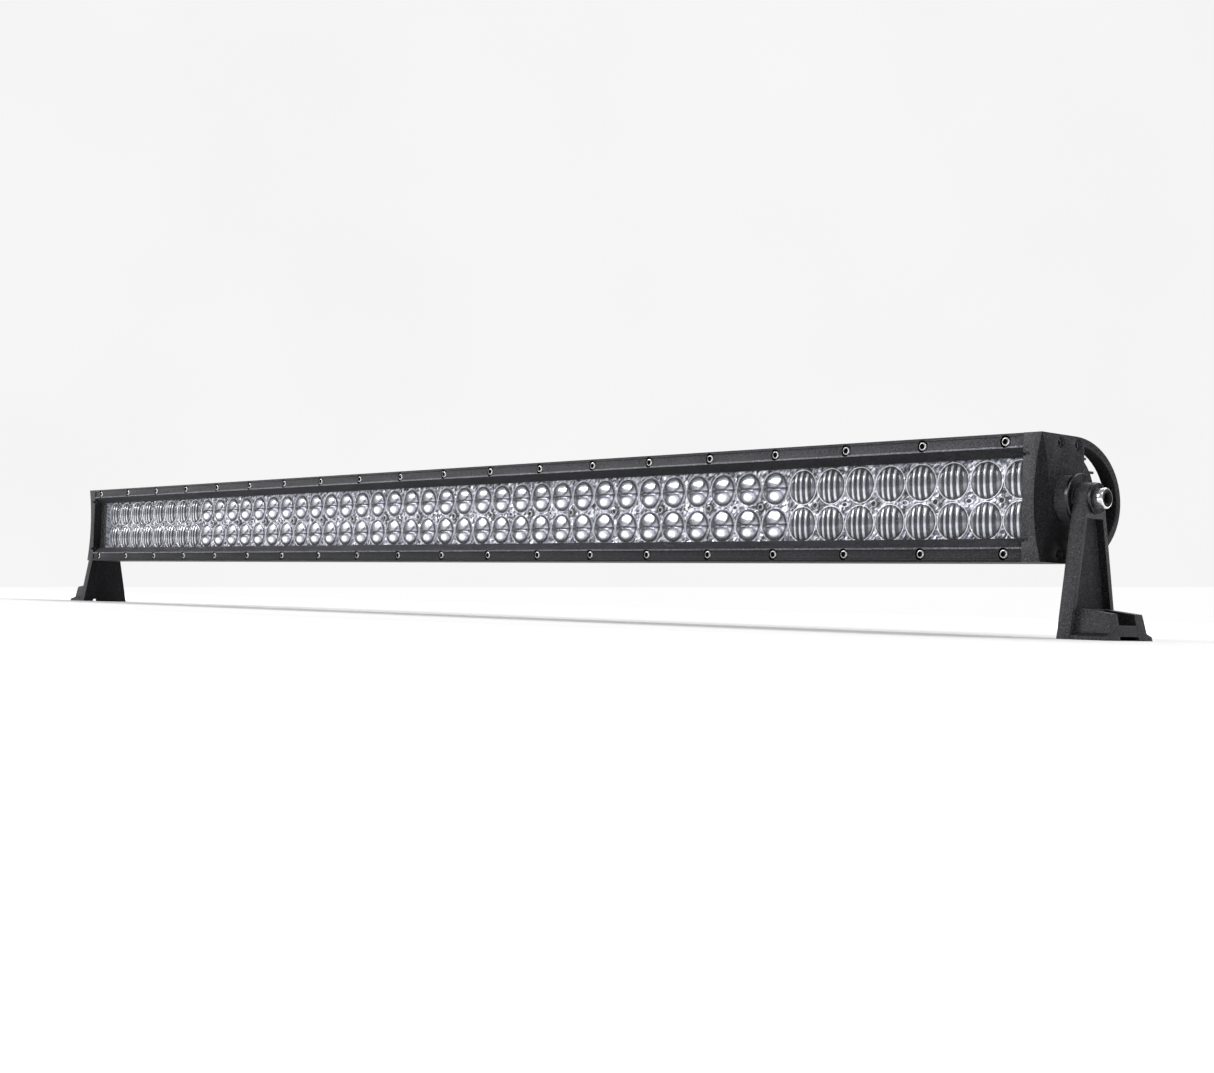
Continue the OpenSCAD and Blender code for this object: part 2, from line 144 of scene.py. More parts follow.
def shader(name, color, roughness, metallic=0.0, **uniform):
    """A new material, its tree and its Principled shader, with uniform values on the shader's own sockets."""
    material = bpy.data.materials.new(name)
    material.use_nodes = True
    tree = material.node_tree
    principled = tree.nodes["Principled BSDF"]
    principled.inputs["Base Color"].default_value = (*color, 1)
    principled.inputs["Roughness"].default_value = roughness
    principled.inputs["Metallic"].default_value = metallic
    for socket, value in uniform.items():
        principled.inputs[socket.replace("_", " ")].default_value = value
    material.diffuse_color = (*color, 1)
    return material, tree, principled


def noise(tree, per_metre, detail):
    """A noise value in object coordinates, with about per_metre grains to the metre."""
    place = tree.nodes.new("ShaderNodeTexCoord")
    texture = tree.nodes.new("ShaderNodeTexNoise")
    texture.inputs["Scale"].default_value = per_metre
    texture.inputs["Detail"].default_value = detail
    link(tree, place.outputs["Object"], texture.inputs["Vector"])
    return texture.outputs["Fac"]


def ramp(tree, value, stops):
    """Colours along a value: stops are (position, (r, g, b))."""
    node = tree.nodes.new("ShaderNodeValToRGB")
    elements = node.color_ramp.elements
    elements[0].position, elements[0].color = stops[0][0], (*stops[0][1], 1)
    elements[1].position, elements[1].color = stops[-1][0], (*stops[-1][1], 1)
    for position, color in stops[1:-1]:
        elements.new(position).color = (*color, 1)
    link(tree, value, node.inputs["Fac"])
    return node.outputs["Color"]


def spread(tree, value, low, high):
    """Maps the middle of a noise value to the range low to high."""
    node = tree.nodes.new("ShaderNodeMapRange")
    node.inputs["From Min"].default_value = 0.3
    node.inputs["From Max"].default_value = 0.7
    node.inputs["To Min"].default_value = low
    node.inputs["To Max"].default_value = high
    link(tree, value, node.inputs["Value"])
    return node.outputs["Result"]


def multiplied(tree, a, b, share=1.0):
    """Colour a darkened or lit by colour b, by a share of its full effect."""
    node = tree.nodes.new("ShaderNodeMix")
    node.data_type = "RGBA"
    node.blend_type = "MULTIPLY"
    node.inputs["Factor"].default_value = share
    link(tree, a, node.inputs[6])
    link(tree, b, node.inputs[7])
    return node.outputs[2]


def bump(tree, principled, height, strength, distance):
    node = tree.nodes.new("ShaderNodeBump")
    node.inputs["Strength"].default_value = strength
    node.inputs["Distance"].default_value = distance
    link(tree, height, node.inputs["Height"])
    link(tree, node.outputs["Normal"], principled.inputs["Normal"])


def painted_shade_by_height(tree, low, high):
    """Painted shade: dark grey below one height, white above another, in object coordinates."""
    place = tree.nodes.new("ShaderNodeTexCoord")
    split = tree.nodes.new("ShaderNodeSeparateXYZ")
    scale = tree.nodes.new("ShaderNodeMapRange")
    scale.inputs["From Min"].default_value = low
    scale.inputs["From Max"].default_value = high
    link(tree, place.outputs["Object"], split.inputs["Vector"])
    link(tree, split.outputs["Z"], scale.inputs["Value"])
    return ramp(tree, scale.outputs["Result"], [(0.0, grey(0.25)), (1.0, grey(1))])


def powder_coat(name, dark, light, gloss, shine=0.3, shade_heights=None):
    """Black textured powder coat: fine orange-peel grain with lighter specks and slow tone changes.

    The last argument is a pair of heights between which the coat gets lighter: painted shade that darkens the coat
    towards the bottom."""
    material, tree, principled = shader(name, light, gloss, Specular_IOR_Level=shine)
    grain = noise(tree, GRAINS_PER_METRE, 2)
    specks = noise(tree, SPECKS_PER_METRE, 1)
    cloud = noise(tree, COAT_CLOUDS_PER_METRE, 3)
    fine = ramp(tree, grain, [(0.34, dark), (0.6, light)])
    glints = ramp(tree, specks, [(0.35, grey(0.45)), (0.6, grey(1)), (0.74, (2.1, 2.1, 2.2))])
    tones = ramp(tree, cloud, [(0.3, grey(0.82)), (0.7, (1.12, 1.12, 1.14))])
    toned = multiplied(tree, multiplied(tree, fine, glints), tones)
    if shade_heights:
        toned = multiplied(tree, toned, painted_shade_by_height(tree, *shade_heights))
    link(tree, toned, principled.inputs["Base Color"])
    link(tree, spread(tree, grain, gloss - 0.1, gloss + 0.12), principled.inputs["Roughness"])
    bump(tree, principled, grain, 0.55, 0.22 * MM)
    return material


def metal(name, color, roughness, metallic=1.0):
    """Machined metal with fine marks and slightly uneven polish."""
    material, tree, principled = shader(name, color, roughness, metallic)
    marks = noise(tree, GRAINS_PER_METRE, 4)
    smudges = noise(tree, SMUDGES_PER_METRE, 3)
    darker = tuple(c * 0.72 for c in color)
    link(tree, ramp(tree, marks, [(0.3, darker), (0.62, color)]), principled.inputs["Base Color"])
    link(tree, spread(tree, smudges, roughness * 0.7, roughness * 1.5), principled.inputs["Roughness"])
    bump(tree, principled, marks, 0.15, 0.04 * MM)
    return material


def moulded(name, color, roughness):
    """Moulded rubber, nylon or board: a fine surface grain and slight unevenness in tone."""
    material, tree, principled = shader(name, color, roughness)
    grain = noise(tree, MOULD_GRAINS_PER_METRE, 3)
    cloud = noise(tree, MOULD_CLOUDS_PER_METRE, 3)
    darker = tuple(c * 0.75 for c in color)
    rough = spread(tree, grain, roughness * 0.85, min(1, roughness * 1.15))
    link(tree, ramp(tree, cloud, [(0.3, darker), (0.7, color)]), principled.inputs["Base Color"])
    link(tree, rough, principled.inputs["Roughness"])
    bump(tree, principled, grain, 0.25, 0.08 * MM)
    return material


def cracks(tree):
    """Fine dark lines between irregular cells, with white between them."""
    place = tree.nodes.new("ShaderNodeTexCoord")
    texture = tree.nodes.new("ShaderNodeTexVoronoi")
    texture.feature = "DISTANCE_TO_EDGE"
    texture.inputs["Scale"].default_value = CRACKS_PER_METRE
    link(tree, place.outputs["Object"], texture.inputs["Vector"])
    stops = [(0.0, (0.35, 0.35, 0.4)), (0.05, (0.7, 0.7, 0.74)), (0.12, grey(1))]
    return ramp(tree, texture.outputs["Distance"], stops)


def mesh_value(tree, name):
    """A value that the mesh holds at each of its points."""
    attribute = tree.nodes.new("ShaderNodeAttribute")
    attribute.attribute_name = name
    return attribute.outputs["Fac"]


def lens_optics(name):
    """Clear optics over a mirror, drawn as painted light: the mesh's tone is painted reflection and refraction,
    running from dark bands to bright ones, and the same colour glows through emission as a painted glow.
    """
    material, tree, principled = shader(
        name, (0.8, 0.8, 0.82), 0.12, 0.6,
        Coat_Weight=0.15, Coat_Roughness=0.03, Emission_Strength=PAINTED_OPTICS_GLOW,
    )
    tones = ramp(tree, mesh_value(tree, "tone"), [
        (0.0, (0.006, 0.006, 0.008)), (0.3, (0.05, 0.05, 0.062)),
        (0.55, (0.26, 0.265, 0.31)), (0.8, (0.72, 0.73, 0.78)), (1.0, grey(1)),
    ])
    streaks = noise(tree, VEINS_PER_METRE, 4)
    veins = ramp(tree, streaks, [(0.36, (0.4, 0.4, 0.44)), (0.5, (0.95, 0.95, 0.96)), (0.7, grey(1.1))])
    cracked = multiplied(tree, multiplied(tree, tones, veins, 0.3), cracks(tree))
    link(tree, mesh_value(tree, "crackle"), cracked.node.inputs["Factor"])
    link(tree, cracked, principled.inputs["Base Color"])
    link(tree, cracked, principled.inputs["Emission Color"])
    link(tree, spread(tree, streaks, 0.06, 0.2), principled.inputs["Roughness"])
    bump(tree, principled, streaks, 0.2, 0.2 * MM)
    return material


def clear_cover(name):
    """Clear polycarbonate with faint handling marks."""
    material, tree, principled = shader(name, (0.9, 0.93, 0.95), 0.04, Alpha=0.03)
    smudges = noise(tree, HANDLING_MARKS_PER_METRE, 4)
    link(tree, spread(tree, smudges, 0.02, 0.09), principled.inputs["Roughness"])
    return material


# The cap sides take a darker copy of the coat with painted shade that deepens towards the bottom, between these
# heights.
SIDE_SHADE_HEIGHTS = (0.055, 0.128)
coat = powder_coat("powder_coat", (0.024, 0.024, 0.026), (0.072, 0.072, 0.079), 0.5)
coat_rail = powder_coat("powder_coat_rail", (0.022, 0.022, 0.025), (0.072, 0.072, 0.080), 0.5)
coat_side_shade = powder_coat(
    "powder_coat_side", (0.016, 0.016, 0.018), (0.055, 0.055, 0.06), 0.55, 0.15, shade_heights=SIDE_SHADE_HEIGHTS
)
# A darker copy of the coat as painted shade: the legs' sunk panels, the foot channels' floors and the bottom rail.
coat_panel_shade = powder_coat("powder_coat_panel", (0.016, 0.016, 0.018), (0.044, 0.044, 0.048), 0.55, 0.2)
# A darker copy of the coat as painted shade on the top rail's inner slope, which faces down.
coat_bezel_shade = powder_coat("powder_coat_bezel", (0.014, 0.014, 0.016), (0.046, 0.046, 0.052), 0.5, 0.25)
# A lighter copy of the coat as a painted highlight along the narrow ridge of both rails.
coat_ridge_highlight = powder_coat("powder_coat_ridge", (0.09, 0.09, 0.1), (0.24, 0.24, 0.26), 0.45)
# A near-black copy of the coat as painted shade in the caps' front hollows and on the brackets' inner and
# inward-facing faces.
coat_waist_shade = powder_coat("powder_coat_waist", (0.006, 0.006, 0.007), (0.024, 0.024, 0.027), 0.6, 0.12)
# A near-black copy of the coat as painted shade on the open rim behind each cap.
coat_rim_shade = powder_coat("powder_coat_rim", (0.006, 0.006, 0.007), (0.024, 0.024, 0.026), 0.55, 0.15)
# A black copy of the coat as painted shade in the rail screws' counterbores and on the rails' outer lip.
coat_recess_shade = powder_coat("powder_coat_recess", (0.002, 0.002, 0.002), (0.008, 0.008, 0.009), 0.7, 0.05)
stainless = metal("stainless", (0.93, 0.93, 0.93), 0.22, metallic=0.55)
bolt_steel = metal("polished_bolt", (0.9, 0.9, 0.9), 0.10, metallic=0.85)
dark_steel = metal("dark_steel", (0.07, 0.07, 0.075), 0.36)
# Painted shade inside the screw sockets, which are of the screws' own steel.
socket_shade = metal("socket_recess", (0.035, 0.035, 0.038), 0.5)
optics = lens_optics("lens_optics")
cover_clear = clear_cover("cover_clear")
mirror_metal = metal("reflector_metal", (0.85, 0.85, 0.86), 0.14)
board_white = moulded("board_white", (0.75, 0.76, 0.73), 0.35)
phosphor = moulded("led_phosphor", (0.82, 0.68, 0.18), 0.5)
pad_grey = moulded("thermal_pad", (0.35, 0.38, 0.42), 0.8)
rubber = moulded("seal_rubber", (0.018, 0.018, 0.018), 0.75)
nylon = moulded("nylon_black", (0.022, 0.022, 0.024), 0.45)
brass = metal("brass_contact", (0.70, 0.52, 0.22), 0.25)
wire_red = moulded("wire_red", (0.42, 0.02, 0.02), 0.35)

NODE_MATERIALS = {
    "powder_coat": coat, "cover_clear": cover_clear, "lens_clear": optics,
    "reflector_metal": mirror_metal, "board_white": board_white, "led_phosphor": phosphor,
    "thermal_pad": pad_grey, "stainless": stainless, "dark_steel": dark_steel,
    "seal_rubber": rubber, "nylon_black": nylon, "brass_contact": brass, "wire_red": wire_red,
}


def dress_nodes():
    """Gives each CAD node the material of its slot in the record."""
    slots = {part["node"]: part["material_slot"] for part in frame["record"]["subparts"]}
    for name, node in nodes.items():
        material = NODE_MATERIALS[slots[name]]
        if name in ("top_rail", "bottom_rail"):
            material = coat_rail
        node.data.materials.clear()
        node.data.materials.append(material)


dress_nodes()

# ---- mesh helpers ----


def shade(obj, degrees=32):
    """Smooth faces with sharp edges where the surface turns by more than an angle."""
    mesh = obj.data
    mesh.polygons.foreach_set("use_smooth", [True] * len(mesh.polygons))
    mesh.set_sharp_from_angle(angle=math.radians(degrees))


def add_piece(name, mesh, materials, body, node):
    """A modelled piece that rides on a body and is shown in a CAD node's place."""
    obj = bpy.data.objects.new(name, mesh)
    bpy.context.scene.collection.objects.link(obj)
    for material in materials:
        mesh.materials.append(material)
    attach(obj, body)
    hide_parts(node)
    return obj


MERGE_GAP = 0.004 * MM
FLAT_ANGLE = math.radians(0.8)
SHARP_ANGLE = math.radians(38)


def softened(node, width, material, body, segments=2, zones=()):
    """A copy of a CAD node with its sharp edges rounded by a small bevel, shown in the node's place.

    zones are (test, material) pairs: faces whose centre and normal pass a test get its coat."""
    mesh = nodes[node].data.copy()
    work = bmesh.new()
    work.from_mesh(mesh)
    bmesh.ops.remove_doubles(work, verts=work.verts, dist=MERGE_GAP)
    bmesh.ops.dissolve_limit(work, angle_limit=FLAT_ANGLE, verts=work.verts, edges=work.edges)
    work.to_mesh(mesh)
    work.free()
    mesh.materials.clear()
    mesh.materials.append(material)
    obj = bpy.data.objects.new(node + "_finish", mesh)
    bpy.context.scene.collection.objects.link(obj)
    bevel = obj.modifiers.new("bevel", "BEVEL")
    bevel.width = width
    bevel.segments = segments
    bevel.limit_method = "ANGLE"
    bevel.angle_limit = SHARP_ANGLE
    bevel.use_clamp_overlap = True
    bevel.miter_outer = "MITER_ARC"
    evaluated = obj.evaluated_get(bpy.context.evaluated_depsgraph_get())
    final = bpy.data.meshes.new_from_object(evaluated)
    obj.modifiers.clear()
    obj.data = final
    for index, (test, zone_material) in enumerate(zones, 1):
        final.materials.append(zone_material)
        for face in final.polygons:
            if test(face.center, face.normal):
                face.material_index = index
    shade(obj, 40)
    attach(obj, body)
    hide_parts(node)


def lathe_rings(profile, segments, hex_from):
    """Points of a turned shape, ring by ring. Rings from hex_from on lie on a hexagon."""
    rings = []
    for index, (radius, height) in enumerate(profile):
        ring = []
        for k in range(segments):
            angle = 2 * math.pi * k / segments
            reach = radius
            if index >= hex_from:
                reach = radius / math.cos((angle % (math.pi / 3)) - math.pi / 6)
            ring.append((reach * math.cos(angle), reach * math.sin(angle), height))
        rings.append(ring)
    return rings


def rings_to_faces(count, segments):
    """Four-sided faces between neighbouring rings of points."""
    faces = []
    for r in range(count - 1):
        for k in range(segments):
            a = r * segments + k
            b = r * segments + (k + 1) % segments
            faces.append((a, b, b + segments, a + segments))
    return faces


def screw_shape(sizes, segments):
    """A socket screw along +Z with the underside of its head at 0: points, faces and their material slots, slot 1
    holding the painted shade inside the socket.
    """
    head_r, head_h, hex_r, hex_depth, edge, shank_r, shank_length = (size * MM for size in sizes)
    under_head = 0.1 * MM
    turns = [math.radians(a) for a in (0, 30, 60, 90)]
    rounding = [(head_r - edge + edge * math.cos(a), head_h - edge + edge * math.sin(a)) for a in turns]
    profile = [(shank_r, -shank_length), (shank_r, -under_head)]
    profile += [(head_r - edge * 0.3, 0), (head_r, edge * 0.4)] + rounding
    hex_from = len(profile)
    profile += [(hex_r * 1.14, head_h), (hex_r, head_h - edge * 0.4), (hex_r * 0.97, head_h - hex_depth)]
    rings = lathe_rings(profile, segments, hex_from)
    points = [p for ring in rings for p in ring]
    faces = rings_to_faces(len(rings), segments)
    slots = [0] * ((hex_from - 1) * segments) + [1] * ((len(rings) - hex_from) * segments)
    faces.append(tuple(range(segments))[::-1])
    slots.append(0)
    last = (len(rings) - 1) * segments
    floor_point = len(points)
    points.append((0, 0, head_h - hex_depth * 1.12))
    faces += [(last + k, last + (k + 1) % segments, floor_point) for k in range(segments)]
    slots += [1] * segments
    return points, faces, slots


def scattered(name, shape, placings):
    """One mesh with a copy of a shape at each placing."""
    points, faces, slots = shape
    all_points, all_faces = [], []
    for placing in placings:
        start = len(all_points)
        all_points += [tuple(placing @ Vector(p)) for p in points]
        all_faces += [tuple(start + i for i in face) for face in faces]
    mesh = bpy.data.meshes.new(name)
    mesh.from_pydata(all_points, [], all_faces)
    mesh.polygons.foreach_set("material_index", slots * len(placings))
    return mesh


def facing(direction, at, spin=0.0):
    """A placing whose +Z points along a direction."""
    turn = Vector(direction).to_track_quat("Z", "Y").to_matrix().to_4x4()
    return Matrix.Translation(at) @ turn @ Matrix.Rotation(spin, 4, "Z")


# ---- optics ----

LENS_R = 11.7 * MM
DOME_BASE = 0.7 * MM
FLOOD_RISE = 3.6 * MM
FLUTE_PITCH = 4.9 * MM
FLUTE_HEIGHT = 0.45 * MM
SPOT_RISE = 3.8 * MM
GROOVE_DEPTH = 0.5 * MM
GROOVE_WIDTH = 0.06
FIELD_TONE = 0.6
SPOT_CRACKLE = 0.55
FLOOD_CLARITY = 0.86
SPOT_RIM_CLARITY = 0.45

# A spot lens's painted reflections, bright pools and the dark bands round them: centre and half widths, in lens
# radii.
UPPER_POOL = (0.2, 0.52, 0.4, 0.27)
LOWER_POOL = (0.05, -0.5, 0.42, 0.27)
UPPER_BAND = (-0.1, 0.42, 0.7071, 0.4)
LOWER_BAND = (0.05, -0.5, 0.6708, 0.4123)

# Reach and height in mm, and tone, which is painted highlight and shade: the ring round a lens, and the mark in a
# gap that holds no screw.
RIM_PROFILE = [(11.7, 0.7, 0.15), (11.85, 0.15, 0.02), (12.1, 0.1, 0.1), (12.25, 0.8, 0.95),
               (12.5, 0.9, 1.0), (12.68, 0.0, 0.3)]
RIM_SEGMENTS = 56
GATE_PROFILE = [(3.0, 0.2, 0.9), (2.6, 1.25, 1.0), (2.1, 1.3, 0.6), (1.7, 0.6, 0.02), (0.2, 0.5, 0.05)]
GATE_SEGMENTS = 28
GATE_SQUASH = 0.62

# Facets of the field between lenses: each takes a painted reflection tone drawn at random, and the diamond round
# each tray screw is darkened by painted shade.
FACET_CELL = 1.6 * MM
FACET_SHIFT = 0.42
FACET_RISE = 0.75
FACET_TONES = [0.1, 0.4, 0.6, 0.8, 1.0]
FACET_SHARES = [0.17, 0.2, 0.28, 0.22, 0.13]
WELL_REACH = 5.6 * MM
WELL_SHADE = 0.45
# The tray's silvered end wall: its tones are painted reflections drawn at random.
WALL_UNDER_COVER = 12.8 * MM
WALL_HALF_HEIGHT = 26.5 * MM
WALL_LEAN = 0.25
WALL_TONES = [0.35, 0.55, 0.7]
WALL_SHARES = [0.3, 0.45, 0.25]


def smooth_step(value, low, high):
    t = np.clip((value - low) / (high - low), 0, 1)
    return t * t * (3 - 2 * t)


def mixed(low, high, share):
    return low + (high - low) * share


def bell(value, width):
    """1 where a value is 0, falling to almost nothing two widths away."""
    return np.exp(-((value / width) ** 2))


def oval(u, v, centre_u, centre_v, half_u, half_v):
    """0 at an oval's centre, 1 on its edge and more outside."""
    return ((u - centre_u) / half_u) ** 2 + ((v - centre_v) / half_v) ** 2


def grid_faces(columns, rows):
    """Four-sided faces over points that run row by row within each column."""
    return [
        (i * rows + j, (i + 1) * rows + j, (i + 1) * rows + j + 1, i * rows + j + 1)
        for i in range(columns - 1)
        for j in range(rows - 1)
    ]


def flood_lens():
    """A dome with upright flutes, whose tones are painted reflection: bright on the flute crowns and dark in the
    grooves. Returns points as (x, height over the plate, z), tones and faces.
    """
    columns, rows = 61, 11
    near_edge = 0.9995
    x = np.linspace(-near_edge, near_edge, columns) * LENS_R
    t = np.linspace(-1, 1, rows)
    xx = np.repeat(x, rows)
    tt = np.tile(t, columns)
    zz = tt * np.sqrt(LENS_R**2 - xx**2)
    radius = np.sqrt(xx**2 + zz**2) / LENS_R
    wave = np.cos(2 * np.pi * xx / FLUTE_PITCH)
    dome = np.sqrt(np.clip(1.25 - radius**2, 0, None)) - 0.5
    height = DOME_BASE + FLOOD_RISE * dome + FLUTE_HEIGHT * wave * (1 - radius**6)
    flutes = mixed(0.12, 1, smooth_step(wave, -0.15, 0.7))
    ends = smooth_step(np.abs(tt + 0.08), 0.3, 0.75)
    flanks = smooth_step(np.abs(xx), 7.2 * MM, 9.2 * MM)
    tone = FLOOD_CLARITY * mixed(flutes * mixed(0.78, 1, ends), 0.42 + 0.12 * wave, flanks)
    tone = np.where(np.abs(tt) > 0.94, 0.25 * tone, tone)
    return np.stack([xx, height, zz], axis=1), tone, grid_faces(columns, rows)


def spot_lens():
    """A dome split across its middle, with a painted reflection: a bright pool in each half with dark bands round
    them, and painted shade in the middle groove and in a dark ring near the edge.
    """
    rings, segments = 15, 48
    radius = np.linspace(0.02, 1, rings)
    angle = np.linspace(0, 2 * np.pi, segments, endpoint=False)
    rr = np.repeat(radius, segments)
    aa = np.tile(angle, rings)
    u, v = rr * np.cos(aa), rr * np.sin(aa)
    groove = bell(v, GROOVE_WIDTH)
    dome = np.sqrt(np.clip(1.2 - rr**2, 0, None)) - 0.44
    height = DOME_BASE + SPOT_RISE * dome - GROOVE_DEPTH * groove
    upper_pool = 1 - smooth_step(oval(u, v, *UPPER_POOL), 0.5, 1.2)
    lower_pool = 1 - smooth_step(oval(u, v, *LOWER_POOL), 0.5, 1.2)
    upper_band = bell(oval(u, v, *UPPER_BAND) - 1, 0.3)
    lower_band = bell(oval(u, v, *LOWER_BAND) - 1, 0.28)
    body = 0.6 + 0.14 * np.sin(3.1 * u + 2.2 * v) - 0.14 * smooth_step(-u, 0.1, 0.8)
    body = body - 0.38 * upper_band - 0.34 * lower_band
    edge = smooth_step(rr, 0.88, 0.93) * (1 - smooth_step(rr, 0.96, 1.0))
    tone = np.maximum.reduce([body, upper_pool, lower_pool])
    tone = tone * (1 - 0.75 * groove) * (1 - 0.75 * edge)
    points = np.stack([u * LENS_R, height, v * LENS_R], axis=1)
    return points, tone, rings_to_faces(rings, segments) + [tuple(range(segments))]


def stacked_rings(profile, segments, squash=1.0):
    """Points and tones of rings round one centre. squash narrows them from top to bottom."""
    angle = np.linspace(0, 2 * np.pi, segments, endpoint=False)
    points, tones = [], []
    for reach, height, tone in profile:
        ring = [reach * np.cos(angle), np.full(segments, height), squash * reach * np.sin(angle)]
        points.append(np.stack(ring, axis=1) * MM)
        tones.append(np.full(segments, tone))
    return np.concatenate(points), np.concatenate(tones)


def lens_rim(clarity):
    """The thin raised ring round a lens, with a painted highlight on its crest and painted shade in the groove
    inside it. clarity is its contrast, 0 to 1.
    """
    points, tones = stacked_rings(RIM_PROFILE, RIM_SEGMENTS)
    return points, mixed(FIELD_TONE, tones, clarity), rings_to_faces(len(RIM_PROFILE), RIM_SEGMENTS)


def gate_mark():
    """The small oval mark in a gap that holds no screw, with a painted highlight on its raised ring and painted
    shade in its sunk middle.
    """
    points, tones = stacked_rings(GATE_PROFILE, GATE_SEGMENTS, GATE_SQUASH)
    middle = tuple(range(len(points) - GATE_SEGMENTS, len(points)))
    return points, tones, rings_to_faces(len(GATE_PROFILE), GATE_SEGMENTS) + [middle]


def plate_facets(width, half_height, clarity, wells):
    """The bright field between the lenses: a sheet of small tilted facets, each with a painted reflection of
    random brightness.

    clarity scales its brightness; wells are places along the plate with a diamond of painted shade."""
    columns = int(width / FACET_CELL)
    rows = int(2 * half_height / FACET_CELL)
    x = np.linspace(-width / 2, width / 2, columns)
    z = np.linspace(-half_height, half_height, rows)
    xx, zz = np.meshgrid(x, z, indexing="ij")
    inner = np.zeros_like(xx)
    inner[1:-1, 1:-1] = 1
    xx = xx + inner * rng.uniform(-FACET_SHIFT, FACET_SHIFT, xx.shape) * FACET_CELL
    zz = zz + inner * rng.uniform(-FACET_SHIFT, FACET_SHIFT, zz.shape) * FACET_CELL
    height = inner * rng.uniform(0, FACET_RISE, xx.shape) * MM
    tone = rng.choice(FACET_TONES, xx.size, p=FACET_SHARES) * clarity
    for well_x in wells:
        diamond = (np.abs(xx - well_x) + np.abs(zz)).ravel() < WELL_REACH
        tone = np.where(diamond, tone * WELL_SHADE, tone)
    points = np.stack([xx.ravel(), height.ravel(), zz.ravel()], axis=1)
    faces = []
    for a, b, c, d in grid_faces(columns, rows):
        faces += [(a, b, c), (a, c, d)]
    return points, tone, faces


def end_wall(outward):
    """The silvered end of the tray, as facets standing up from the plate at x = 0, each with a painted reflection
    of random brightness.
    """
    steps, rows = 4, 34
    rise = np.linspace(0, PLATE_DEPTH - WALL_UNDER_COVER, steps)
    z = np.linspace(-WALL_HALF_HEIGHT, WALL_HALF_HEIGHT, rows)
    hh, zz = np.meshgrid(rise, z, indexing="ij")
    tone = rng.choice(WALL_TONES, hh.size, p=WALL_SHARES)
    lean = rng.uniform(0, WALL_LEAN, hh.size) * MM
    return np.stack([-outward * lean, hh.ravel(), zz.ravel()], axis=1), tone, grid_faces(steps, rows)


def group_parts(index, low, high):
    """A lens group's surfaces, each with its centre as (x, z) and whether it is rounded."""
    centre_x = (low.x + high.x) / 2
    half_height = (high.z - low.z) / 2
    flood = index in FLOOD_GROUPS
    lens = flood_lens() if flood else spot_lens()
    wells = [] if flood else [k * LENS_PITCH for k in SCREW_COLUMNS]
    plate = plate_facets(high.x - low.x, half_height, FLOOD_CLARITY if flood else 1.0, wells)
    parts = [(plate, (centre_x, PIVOT_Z), False)]
    for column in range(COLUMNS_PER_GROUP):
        x = centre_x + (column - (COLUMNS_PER_GROUP - 1) / 2) * LENS_PITCH
        for side in (-1, 1):
            at = (x, PIVOT_Z + side * ROW_PITCH / 2)
            parts.append((lens, at, True))
            parts.append((lens_rim(1.0 if flood else SPOT_RIM_CLARITY), at, True))
    for k in GATE_COLUMNS:
        parts.append((gate_mark(), (centre_x + k * LENS_PITCH, PIVOT_Z), True))
    if flood:
        outward = 1 if centre_x > 0 else -1
        parts.append((end_wall(outward), (high.x if outward > 0 else low.x, PIVOT_Z), False))
    return parts


def lens_group(index):
    """One group of sixteen lenses on its faceted plate."""
    node = f"lens_group_{index}"
    dome_crackle = 0.0 if index in FLOOD_GROUPS else SPOT_CRACKLE
    points, tones, crackles, faces, smooth = [], [], [], [], []
    start = 0
    for (p, t, f), (x, z), rounded in group_parts(index, *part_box(node)):
        points.append(np.stack([p[:, 0] + x, PLATE_Y - p[:, 1], p[:, 2] + z], axis=1))
        tones.append(t)
        crackles.append(np.full(len(p), dome_crackle if rounded else 1.0))
        faces += [tuple(start + i for i in face) for face in f]
        smooth += [rounded] * len(f)
        start += len(p)
    mesh = bpy.data.meshes.new(node + "_optics")
    mesh.from_pydata(np.concatenate(points).tolist(), [], faces)
    mesh.polygons.foreach_set("use_smooth", smooth)
    for attribute, values in (("tone", tones), ("crackle", crackles)):
        layer = mesh.attributes.new(attribute, "FLOAT", "POINT")
        layer.data.foreach_set("value", np.concatenate(values).astype(np.float32))
    add_piece(node + "_optics", mesh, [optics], "light_bar", node)


for group in range(1, GROUPS + 1):
    lens_group(group)

# ---- fasteners ----


# Sizes in mm: head radius and height, socket radius and depth, edge rounding, shank radius and length.
RAIL_SCREW = (2.75, 2.9, 1.35, 1.9, 0.7, 1.5, 6)
END_SCREW = (3.1, 3, 1.7, 2, 0.8, 2, 8)
TRAY_SCREW = (2.4, 1.6, 0.9, 1.2, 0.5, 1.25, 6)
PIVOT_BOLT = (6.5, 6, 3.3, 4, 1.1, 4, 27)
SCREW_SEGMENTS = 30
BOLT_SEGMENTS = 48
BOLT_SPIN = 0.3
TOOTH_HEIGHT = 0.7 * MM
TOOTH_LAND = 0.3 * MM
TOOTH_SLOPE = 0.4 * MM


def add_screws(node, ending, sizes, placings, steel=stainless, segments=SCREW_SEGMENTS):
    """Socket screws at their placings, shown in a node's place."""
    name = node + ending
    mesh = scattered(name, screw_shape(sizes, segments), placings)
    shade(add_piece(name, mesh, [steel, socket_shade], "light_bar", node), 50)


def turned_anyhow(direction, at):
    """A placing along a direction, spun by chance as a tightened screw is."""
    return facing(direction, Vector(at), random.uniform(0, math.pi))


def rail_screw_heads(node, side):
    placings = []
    for k in range(RAIL_SCREWS):
        x = (k - (RAIL_SCREWS - 1) / 2) * RAIL_SCREW_PITCH
        at = (x, FRONT_Y + RAIL_SCREW_SEAT, PIVOT_Z + side * RAIL_SCREW_HEIGHT)
        placings.append(turned_anyhow((0, -1, 0), at))
    add_screws(node, "_heads", RAIL_SCREW, placings)


